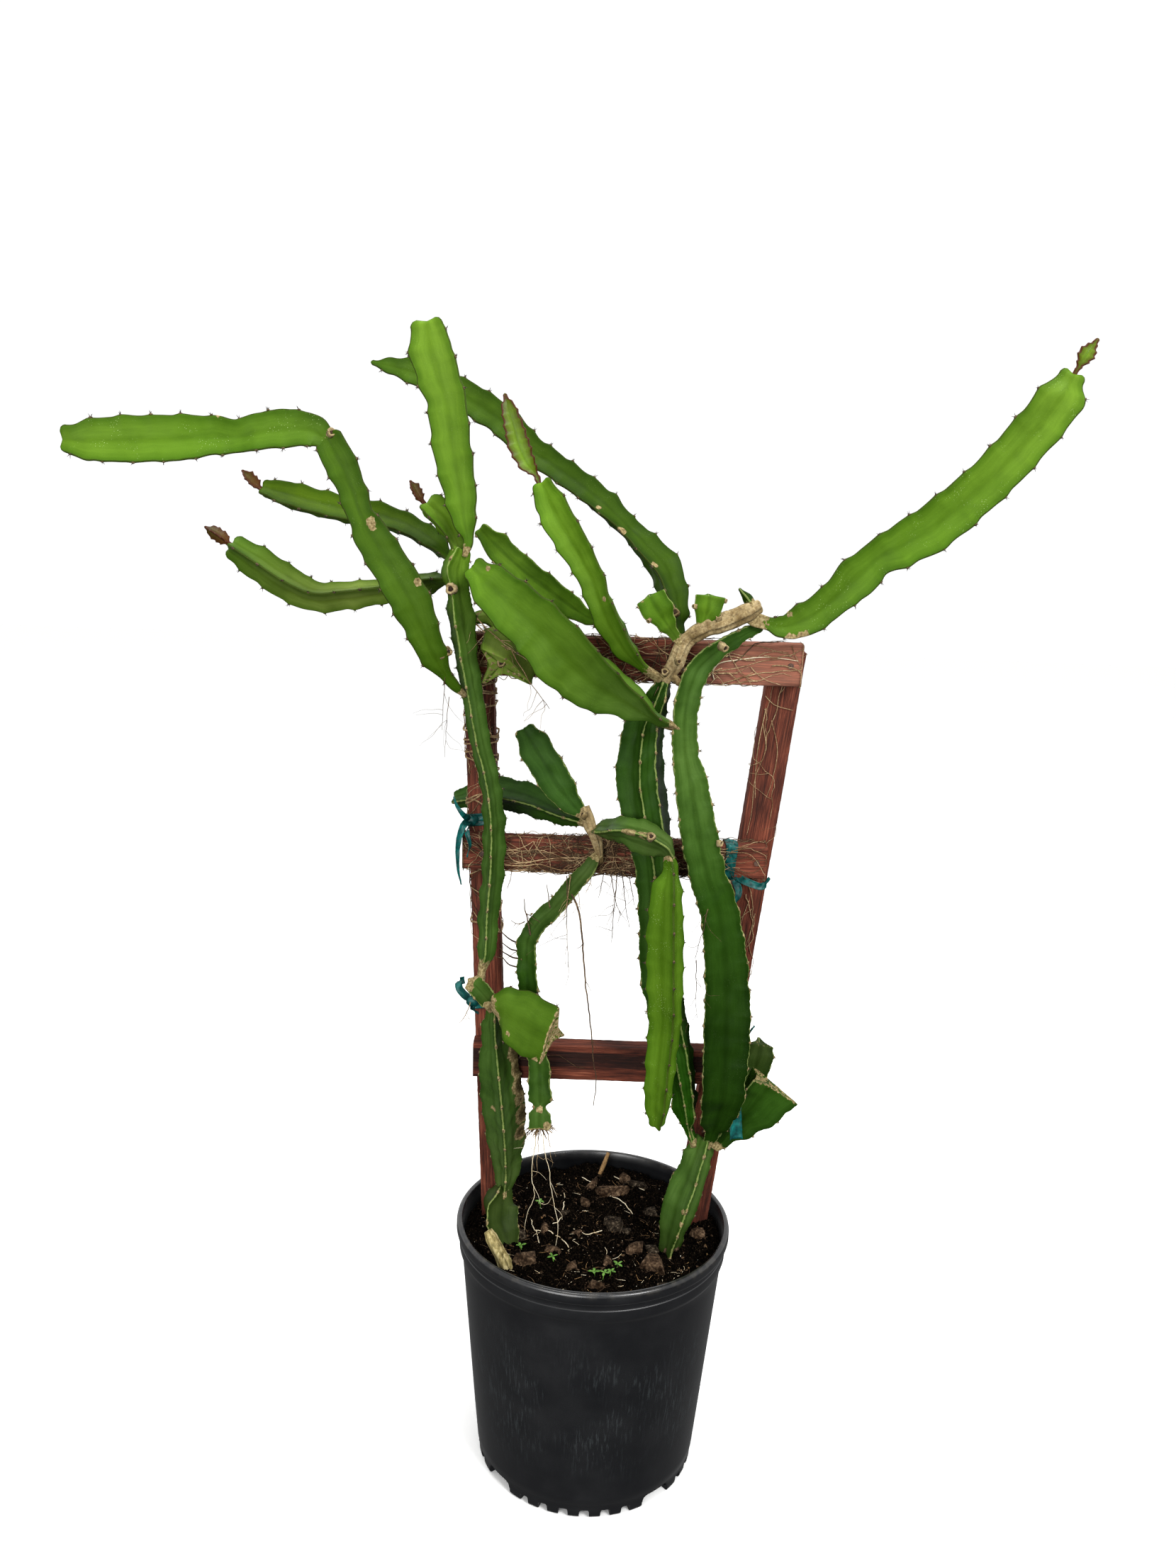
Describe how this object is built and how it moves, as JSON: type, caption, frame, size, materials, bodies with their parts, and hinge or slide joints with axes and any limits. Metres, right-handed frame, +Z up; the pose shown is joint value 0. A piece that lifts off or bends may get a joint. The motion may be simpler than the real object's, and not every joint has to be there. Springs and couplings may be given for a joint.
{
  "type": "dragon fruit cactus",
  "caption": "Potted dragon fruit cactus with three-winged climbing stems tied to a redwood ladder trellis that stands in a round black nursery pot of potting mix.",
  "frame": {"origin": "middle of the pot's flat underside, where it rests on the ground", "axes": "+Z up, -Y towards the front from which the picture was taken, +X to the viewer's right"},
  "size_m": [0.8296, 0.3103, 1.1142],
  "materials": {
    "pot_plastic": "blow-moulded black polyethylene, satin, lightly scuffed",
    "potting_mix": "dark bark and peat mix with perlite specks and bark chips",
    "redwood": "rough-sawn, red-brown stained, weathered",
    "nail_steel": "dull galvanised wire nail",
    "stem_young": "waxy fresh green skin with thin brown wing margins",
    "stem_old": "waxy dark green skin with corky brown wing margins",
    "corky_bark": "tan cracked cork on old stem wood",
    "aerial_root": "dry pale fibrous root",
    "tie_tape": "stretchy teal plant tie tape"
  },
  "bodies": {
    "root": {"cutting_dead": "corky_bark", "leg_left": "redwood", "leg_right": "redwood", "nail_bottom_left": "nail_steel", "nail_bottom_right": "nail_steel", "nail_middle_left": "nail_steel", "nail_middle_right": "nail_steel", "nail_top_left": "nail_steel", "nail_top_right": "nail_steel", "pot": "pot_plastic", "root_long": "aerial_root", "root_white_1": "aerial_root", "root_white_2": "aerial_root", "rung_bottom": "redwood", "rung_middle": "redwood", "rung_top": "redwood", "soil": "potting_mix", "stem_a0": "stem_old", "stem_a1": "stem_old", "stem_a2": "stem_old", "stem_a3": "stem_old", "stem_a4": "stem_young", "stem_a5": "stem_young", "stem_b2": "stem_young", "stem_b3": "stem_young", "stem_b4": "stem_young", "stem_b5": "stem_young", "stem_b6": "stem_young", "stem_b7": "stem_old", "stem_c0": "stem_old", "stem_c1": "stem_old", "stem_d1": "stem_young", "stem_e1": "stem_old", "stem_e2": "stem_young", "stem_e3": "stem_old", "stem_e4": "stem_old", "stem_f1": "stem_young", "stem_f2": "stem_young", "stem_g1": "stem_old", "stem_h1": "stem_young", "stem_i1": "stem_old", "stem_j1": "stem_old", "stem_j2": "stem_old", "stem_l1": "stem_old", "stem_m1": "stem_young", "stem_n1": "stem_old", "stem_n2": "stem_old", "stem_p1": "stem_young", "tie_left_low": "tie_tape", "tie_left_middle": "tie_tape", "tie_right_low": "tie_tape", "tie_right_middle": "tie_tape", "wood_k": "corky_bark", "wood_w": "corky_bark"}
  },
  "joints": []
}
